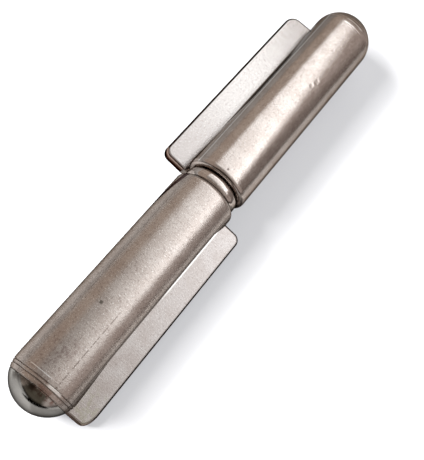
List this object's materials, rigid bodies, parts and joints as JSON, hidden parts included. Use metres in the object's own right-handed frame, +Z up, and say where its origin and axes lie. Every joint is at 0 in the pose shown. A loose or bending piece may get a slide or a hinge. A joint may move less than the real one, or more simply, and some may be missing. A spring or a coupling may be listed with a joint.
{
  "type": "weld-on barrel hinge",
  "caption": "Weld-on lift-off hinge lying open: domed round barrels on one pin with a thrust ring between them, each with a flat leaf flush with its underside.",
  "frame": {"origin": "bottom centre of the bounding box, on the surface the open hinge lies on, under the pin's axis", "axes": "+Y along the pin towards the half that lifts off, +Z up from the surface the hinge lies on, lower leaf towards +X and upper leaf towards -X"},
  "size_m": [0.0354, 0.1604, 0.02],
  "materials": {
    "satin_steel": "tumbled satin stainless steel",
    "polished_steel": "polished stainless steel",
    "pin_steel": "ground stainless steel",
    "ring_steel": "turned stainless steel"
  },
  "bodies": {
    "lower_half": {"lower_knuckle": "satin_steel", "hinge_pin": "pin_steel", "lower_end_cap": "polished_steel"},
    "thrust_ring": {"thrust_ring": "ring_steel"},
    "upper_half": {"upper_knuckle": "satin_steel", "upper_end_cap": "polished_steel"}
  },
  "joints": [
    {"name": "leaf_swing", "type": "hinge", "parent": "lower_half", "child": "thrust_ring", "pos_m": [0, 0, 0.01], "axis": [0, 1, 0], "continuous": true},
    {"name": "lift_off", "type": "slide", "parent": "thrust_ring", "child": "upper_half", "axis": [0, 1, 0], "range_m": [0, 0.04]}
  ]
}
